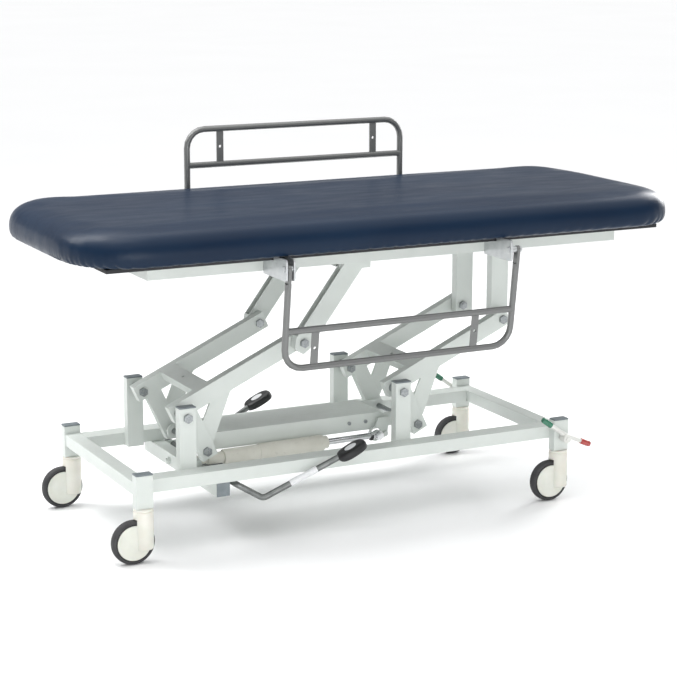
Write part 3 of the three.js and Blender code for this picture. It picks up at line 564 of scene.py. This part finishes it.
def gather(piece, half, bottom, top):
    """Pleats where the cover is pulled under at the corners, and the slow waves of a stretched cover."""
    for vertex in piece.data.vertices:
        x, y, z = vertex.co
        out = Vector((x / half[0] ** 2, y / half[1] ** 2, 0)).normalized()
        along = math.atan2(y / half[1], x / half[0]) * (half[0] + half[1]) / 2
        share = corner_share((x, y), half)
        fade = max(0.0, 1 - (z - bottom) / PLEAT_RISE)
        wander = noise.noise(Vector((along * 9, 0.3, 1.7))) * 2.2
        fold = 1 - abs(math.sin(math.pi * along / PLEAT_SPACING + wander))
        depth = PLEAT_DEPTH * (0.35 + 0.65 * share) * fade * fade * fold ** 2
        edge = max(0.0, 1 - (z - bottom) / 0.02)
        rim = abs(x) > half[0] - 0.12 or abs(y) > half[1] - 0.05
        if rim:
            vertex.co -= out * depth
            vertex.co.z += depth * 0.8 * edge
        wave = noise.noise(Vector((x * 2.6, y * 5.5, z * 5.0)))
        streak = noise.noise(Vector((along * 26, z * 8.0, 4.0))) * share
        lift = 0.0009 * wave
        height = (z - bottom) / (top - bottom)
        if height > 0.9:
            vertex.co.z += lift
        elif height > 0.12:
            vertex.co += out * (lift + 0.0007 * streak)


def build_mattress():
    low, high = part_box("mattress")
    half = (high.x, high.y)
    small = (half[0] - SWELL_START, half[1] - SWELL_START)
    mesh = mesh_from("mattress_cover_shape", mattress_start(small, low.z, high.z - SWELL_START / 2))
    piece = bpy.data.objects.new("mattress_cover", mesh)
    bpy.context.scene.collection.objects.link(piece)
    remesh = piece.modifiers.new("remesh", "REMESH")
    remesh.mode = "VOXEL"
    remesh.voxel_size = PAD_VOXEL
    bpy.context.view_layer.update()
    evaluated = piece.evaluated_get(bpy.context.evaluated_depsgraph_get())
    even = bpy.data.meshes.new_from_object(evaluated)
    piece.modifiers.remove(remesh)
    piece.data = even
    held = [v.index for v in even.vertices if v.co.z < low.z + 0.006]
    swell(piece, held)
    finer = piece.modifiers.new("finer", "SUBSURF")
    finer.levels = 1
    finer.render_levels = 1
    bpy.context.view_layer.update()
    evaluated = piece.evaluated_get(bpy.context.evaluated_depsgraph_get())
    piece.data = bpy.data.meshes.new_from_object(evaluated)
    piece.modifiers.clear()
    gather(piece, half, low.z, high.z)
    for vertex in piece.data.vertices:
        vertex.co.z = max(vertex.co.z, low.z)
    smooth(piece.data, math.radians(180))
    piece.data.materials.clear()
    piece.data.materials.append(MATERIALS["vinyl_navy"])
    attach(piece, BODY_OF["mattress"])
    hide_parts("mattress")


# ------------------------------------------------------------------ castors


def castor_hood(at, axle):
    """Hood with its ring step, slotted for the wheel, and the stem that goes up into the post."""
    profile = [
        (HOOD_FOOT, 0.0235), (HOOD_FOOT + 0.001, 0.0262), (HOOD_FOOT + 0.004, HOOD_RADIUS),
        (HOOD_STEP - 0.0008, HOOD_RADIUS), (HOOD_STEP, HOOD_RADIUS - 0.0006),
        (HOOD_STEP + 0.0002, HOOD_COLLAR - 0.0009),
        (HOOD_STEP + 0.0012, HOOD_COLLAR - 0.0009), (HOOD_STEP + 0.0016, HOOD_COLLAR),
        (0.1550, HOOD_COLLAR), (0.1557, HOOD_COLLAR - 0.001), (0.1557, STEM_RADIUS), (0.1755, STEM_RADIUS),
        (0.1760, STEM_RADIUS - 0.0008),
    ]
    floor_point = (at.x, at.y, 0)
    hood = mesh_from("hood_blank", skin(turned(profile, floor_point, (0, 0, 1), 72)))
    slot_profile = [(-SLOT_HALF, SLOT_RADIUS), (SLOT_HALF, SLOT_RADIUS)]
    slot = mesh_from("hood_slot", skin(turned(slot_profile, axle, (0, 1, 0), 72)))
    mesh = cut_by(hood, slot)
    smooth(mesh)
    return mesh


def castor_cover(axle, side):
    """Dished cover disc with a rim ring and a flat middle, on one side of the wheel."""
    inner, outer = COVER_FACES
    radius = COVER_RADIUS
    profile = [
        (inner, radius), (outer - 0.0012, radius), (outer - 0.0003, radius - 0.0005),
        (outer, radius - 0.0016),
        (outer, radius - 0.0050), (outer - 0.0004, radius - 0.0058), (outer - 0.0005, 0.0260),
        (outer - 0.0002, 0.0250), (outer - 0.0002, 0.0040),
    ]
    return skin(turned(profile, axle, (0, side, 0), 96))


def castor_tyre(axle):
    """Tyre with rounded shoulders and a slightly crowned tread."""
    inner = TYRE_INNER
    half = TYRE_HALF
    profile = [
        (-half + 0.0012, inner), (-half + 0.0002, inner + 0.0010), (-half, inner + 0.0045),
        (-half + 0.0012, 0.0582),
        (-half + 0.0042, 0.0610), (-0.0055, 0.0622), (0.0, WHEEL_RADIUS), (0.0055, 0.0622),
        (half - 0.0042, 0.0610), (half - 0.0012, 0.0582), (half, inner + 0.0045),
        (half - 0.0002, inner + 0.0010),
        (half - 0.0012, inner),
    ]
    rings = turned(profile, axle, (0, 1, 0), 128)
    return skin([*rings, rings[0]], capped=False)


def castor_core(axle):
    """Wheel disc between the hub bore and the tyre."""
    profile = [
        (-0.0115, 0.0065), (-0.0115, 0.0490), (-0.0105, 0.0500),
        (0.0105, 0.0500), (0.0115, 0.0490), (0.0115, 0.0065),
    ]
    rings = turned(profile, axle, (0, 1, 0), 96)
    return skin([*rings, rings[0]], capped=False)


def castor_gap_shadow_ring(axle, side):
    """Painted shadow: a black ring in the gap between the cover disc and the tyre, on one side of the wheel."""
    profile = [
        (0.0120, 0.0500), (0.0145, 0.0500), (0.0149, 0.0508),
        (0.0149, 0.0530), (0.0144, 0.0538), (0.0120, 0.0540),
    ]
    rings = turned(profile, axle, (0, side, 0), 96)
    return skin([*rings, rings[0]], capped=False)


def closed_ring(shape):
    """Joins the first and last ring of a skin that comes back to where it started."""
    bmesh.ops.remove_doubles(shape, verts=shape.verts, dist=1e-6)
    return shape


def build_castors():
    for side in SIDES:
        for end in ENDS:
            place = f"{side}_{end}"
            swivel = Vector(JOINTS[f"castor_{place}_swivel"]["pos_m"])
            axle = Vector(JOINTS[f"wheel_{place}_spin"]["pos_m"])
            castor = f"castor_{place}"
            wheel = f"wheel_{place}"
            show(f"castor_hood_{place}_finished", castor_hood(swivel, axle), castor, "castor_shell",
                 replaces=[f"castor_hood_{place}"])
            for sign, name in ((-1, "front"), (1, "rear")):
                mesh = mesh_from("cover", castor_cover(axle, sign))
                show(f"castor_cover_{place}_{name}", mesh, castor, "castor_shell")
                # painted shadow: a black ring in the gap between cover disc and tyre
                mesh = mesh_from("gap_shadow", closed_ring(castor_gap_shadow_ring(axle, sign)))
                show(f"castor_seal_{place}_{name}", mesh, wheel, "pad_black")
            mesh = mesh_from("tyre", closed_ring(castor_tyre(axle)), math.radians(60))
            show(f"castor_tyre_{place}_finished", mesh, wheel, "tyre_grey", replaces=[f"castor_tyre_{place}"])
            mesh = mesh_from("core", closed_ring(castor_core(axle)))
            show(f"castor_wheel_{place}_finished", mesh, wheel, "castor_shell",
                 replaces=[f"castor_wheel_{place}"])


# ------------------------------------------------------------------ foot pads and lever label


def pad_ring(centre, turn, half, grow, height, count=56, powers=(0.8, 0.75)):
    """One level of a pad: a rounded oblong, or an oval where the powers are 1."""
    points = []
    for i in range(count):
        angle = 2 * math.pi * i / count
        wide = math.copysign(abs(math.cos(angle)) ** powers[0], math.cos(angle))
        tall = math.copysign(abs(math.sin(angle)) ** powers[1], math.sin(angle))
        local = Vector(((half[0] + grow) * wide, (half[1] + grow) * tall, height))
        points.append(centre + turn @ local)
    return points


def build_foot_pads():
    """Moulded pads, dished a little, with a white oval set in each."""
    turn = Matrix.Rotation(-FOOT_PAD_SLOPE, 3, "Y")
    pad_levels = [  # growth of the outline, and height
        (-0.0065, -0.013), (-0.0020, -0.0115), (0.0, -0.008), (0.0, 0.002), (-0.0008, 0.0050),
        (-0.0030, 0.0078), (-0.0070, 0.0098), (-0.0130, 0.0108), (-0.0200, 0.0104), (-0.0290, 0.0102),
    ]
    oval_levels = [(0.0, 0.0096), (0.0, 0.0109), (-0.0012, 0.0116), (-0.0050, 0.0121), (-0.0110, 0.0123)]
    for name, sign in SIDES.items():
        centre = Vector((FOOT_PAD_CENTRE[0], FOOT_PAD_CENTRE[1] * sign, FOOT_PAD_CENTRE[2]))
        rings = [pad_ring(centre, turn, FOOT_PAD_HALF, grow, height) for grow, height in pad_levels]
        mesh = mesh_from("pad", skin(rings))
        show(f"foot_pad_{name}_finished", mesh, "foot_levers", "pad_black", replaces=[f"foot_pad_{name}"])
        rings = [pad_ring(centre, turn, OVAL_HALF, grow, height, 48, (1, 1)) for grow, height in oval_levels]
        show(f"foot_pad_oval_{name}", mesh_from("oval", skin(rings)), "foot_levers", "pad_black", LABEL)


def build_lever_label():
    """Blank sleeve wrapped round the front lever."""
    mirror = Vector((1, -1, 1))
    tip = LEVER_PAD_POINT * mirror
    knee = LEVER_KNEE * mirror
    along = (tip - knee).normalized()
    start = knee + along * LABEL_START
    path = [start + along * LABEL_LENGTH * i / 12 for i in range(13)]

    def flare(u):
        return LEVER_ROD + 0.0006 + 0.0002 * math.sin(9 * u)

    show("lever_label", mesh_from("label", skin(swept(path, flare, 24))), "foot_levers", "lever_steel", LABEL)


# ------------------------------------------------------------------ brake sleeves


def build_brake_sleeves():
    """Green and red sleeves on the two ends of each rocker."""
    shaft = Vector(JOINTS["brake_rock"]["pos_m"])
    tips = [("green", ROCKER_GREEN, SLEEVE_GREEN), ("red", ROCKER_RED, SLEEVE_RED)]

    def sleeve_radius(u):
        return ROCKER_ROD + SLEEVE_WALL - 0.0016 * max(0.0, 1 - u * 8) - 0.0006 * max(0.0, u * 8 - 7)

    for side, sign in SIDES.items():
        y = ROCKER_Y * sign
        elbow = Vector((shaft.x + ROCKER_ELBOW[0], y, shaft.z + ROCKER_ELBOW[1]))
        for colour, offset, material in tips:
            tip = Vector((shaft.x + offset[0], y, shaft.z + offset[1]))
            along = (elbow - tip).normalized()
            first = tip - along * SLEEVE_WALL
            path = [first + along * SLEEVE_LENGTH * i / 10 for i in range(11)]
            mesh = mesh_from("sleeve", skin(swept(path, sleeve_radius, 28)))
            show(f"brake_sleeve_{side}_{colour}", mesh, "brake", "pedal_steel", material)


# ------------------------------------------------------------------ ram and beam trim


def build_beam_trim():
    """Rubber collar on the ram rod, a plug on the beam and two set screws in its front."""
    low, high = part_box("coupling_beam")
    barrel_low, barrel_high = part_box("ram_barrel")
    rod_y = (barrel_low.y + barrel_high.y) / 2
    rod_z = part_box("ram_rod")[0].z + ROD_EYE_RADIUS
    collar = [(0.0, 0.0105), (0.001, 0.0124), (0.004, 0.0130), (0.008, 0.0128), (0.009, 0.0105)]
    mesh = mesh_from("collar", skin(turned(collar, (COLLAR_X, rod_y, rod_z), (1, 0, 0), 48)))
    show("ram_collar", mesh, "ram_piston", "pad_black")
    plug = [(0.0, 0.0095), (0.0012, 0.0095), (0.002, 0.0085), (0.0022, 0.0030)]
    plug_foot = (high.x - PLUG_INSET[0], low.y + PLUG_INSET[1], high.z)
    mesh = mesh_from("plug", skin(turned(plug, plug_foot, (0, 0, 1), 48)))
    show("beam_plug", mesh, "beam", "castor_shell")
    head = [(0.0, 0.0060), (0.0042, 0.0060), (0.005, 0.0050)]
    for i in range(2):
        centre = (high.x - SCREW_INSET - SCREW_SPACING * i, SCREW_Y, high.z - SCREW_DROP)
        mesh = mesh_from("screw", skin(turned(head, centre, (0, -1, 0), 6)))
        show(f"beam_screw_{i + 1}", mesh, "beam", "bolt_zinc")


# ------------------------------------------------------------------ weld beads


def bead(name, body, corners):
    """A rippled weld bead along straight runs between corner points."""
    path = []
    for start, end in zip(corners, corners[1:]):
        start, end = Vector(start), Vector(end)
        count = max(2, int((end - start).length / 0.0022))
        path += [start.lerp(end, i / count) for i in range(count)]
    path.append(Vector(corners[-1]))

    def ripple(u):
        return BEAD_RADIUS + BEAD_RIPPLE * math.sin(u * len(path) * 1.9)

    show(name, mesh_from("bead", skin(swept(path, ripple, 8))), body, "frame_paint")


def hoop(left, right, y):
    """Up one side of a joint, across it and down the other, over the height of the base rails."""
    foot, shoulder = BEAD_HEIGHTS
    return [(left, y, foot), (left, y, shoulder), (right, y, shoulder), (right, y, foot)]


def build_weld_beads():
    """Beads where the towers meet the base rails and where the end rails meet the posts."""
    for side, sign in SIDES.items():
        for end in ENDS:
            low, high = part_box(f"tower_cap_{side}_{end}")
            bead(f"bead_tower_{side}_{end}", "base", hoop(low.x, high.x, sign * BEAD_TOWER_Y))
            low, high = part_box(f"post_cap_{side}_{end}")
            left = low.x + BEAD_POST_INSET
            right = high.x - BEAD_POST_INSET
            bead(f"bead_post_{side}_{end}", "base", hoop(left, right, sign * BEAD_POST_Y))


# ------------------------------------------------------------------ light, floor and camera

CAMERA_PLACE = (-2.6612, -5.2088, 1.7955)
CAMERA_YAW = 0.4689
CAMERA_PITCH = -0.2182
CAMERA_ROLL = 0.0029
CAMERA_LENS = 105.95
SKY_STRENGTH = 1.50
# Sine of the elevation, and grey. The darker band keeps the top of the mattress from glaring.
SKY_BANDS = ((0.0, 0.70), (0.03, 0.70), (0.09, 0.22), (0.48, 0.22), (0.72, 1.0))


def build_camera():
    data = bpy.data.cameras.new("camera")
    data.lens = CAMERA_LENS
    data.sensor_width = 36
    data.clip_end = 50
    camera = bpy.data.objects.new("camera", data)
    bpy.context.scene.collection.objects.link(camera)
    level = math.cos(CAMERA_PITCH)
    ahead = Vector((math.sin(CAMERA_YAW) * level, math.cos(CAMERA_YAW) * level, math.sin(CAMERA_PITCH)))
    right = ahead.cross(Vector((0, 0, 1))).normalized()
    up = right.cross(ahead)
    x_axis = right * math.cos(CAMERA_ROLL) + up * math.sin(CAMERA_ROLL)
    y_axis = up * math.cos(CAMERA_ROLL) - right * math.sin(CAMERA_ROLL)
    turn = Matrix((x_axis, y_axis, -ahead)).transposed()
    camera.matrix_world = Matrix.Translation(CAMERA_PLACE) @ turn.to_4x4()
    bpy.context.scene.camera = camera


def softbox(name, target, direction, distance, size, power, colour=(1, 1, 1)):
    """An area light that looks at the target from a direction."""
    data = bpy.data.lights.new(name, "AREA")
    data.shape = "RECTANGLE"
    data.size, data.size_y = size
    data.energy = power
    data.color = colour
    lamp = bpy.data.objects.new(name, data)
    away = Vector(direction).normalized()
    lamp.location = Vector(target) + away * distance
    lamp.rotation_mode = "QUATERNION"
    lamp.rotation_quaternion = away.to_track_quat("Z", "Y")
    bpy.context.scene.collection.objects.link(lamp)


def build_stage():
    """Pale floor, a white surround with a darker band, and soft lamps."""
    floor_mesh = bpy.data.meshes.new("floor")
    shape = bmesh.new()
    bmesh.ops.create_grid(shape, x_segments=2, y_segments=2, size=30)
    shape.to_mesh(floor_mesh)
    shape.free()
    floor = bpy.data.objects.new("floor", floor_mesh)
    bpy.context.scene.collection.objects.link(floor)
    surface = Surface("floor", 0.7, Specular_IOR_Level=0.1)
    surface.colour(surface.noise(0.8), (0.930, 0.935, 0.940), (0.945, 0.950, 0.955))
    floor_mesh.materials.append(surface.material)

    world = bpy.data.worlds.new("surround")
    world.use_nodes = True
    background = world.node_tree.nodes["Background"]
    background.inputs["Strength"].default_value = SKY_STRENGTH
    direction = world.node_tree.nodes.new("ShaderNodeTexCoord")
    parts = world.node_tree.nodes.new("ShaderNodeSeparateXYZ")
    ramp = world.node_tree.nodes.new("ShaderNodeValToRGB")
    world.node_tree.links.new(direction.outputs["Generated"], parts.inputs["Vector"])
    world.node_tree.links.new(parts.outputs["Z"], ramp.inputs["Fac"])
    world.node_tree.links.new(ramp.outputs["Color"], background.inputs["Color"])
    stops = ramp.color_ramp.elements
    while len(stops) < len(SKY_BANDS):
        stops.new(0.5)
    for stop, (height, grey) in zip(stops, SKY_BANDS):
        stop.position = height
        stop.color = (grey, grey, grey, 1.0)
    bpy.context.scene.world = world

    middle = (0, 0, 0.6)
    softbox("overhead", middle, (-0.25, 0.1, 1.0), 3.6, (3.6, 2.4), 55)
    softbox("left_box", middle, (-0.60, 0.35, 0.67), 3.2, (1.0, 2.2), 50)
    softbox("front_box", (0, 0, 0.2), (-0.25, -1.0, 0.12), 4.2, (3.0, 1.2), 42)
    softbox("right_box", middle, (0.88, 0.34, 0.33), 3.4, (0.9, 1.6), 45)


# ------------------------------------------------------------------ the whole table

bpy.context.scene.view_settings.view_transform = "Standard"
build_camera()
build_stage()
finish_steel()
build_mattress()
build_castors()
build_foot_pads()
build_lever_label()
build_brake_sleeves()
build_beam_trim()
build_weld_beads()
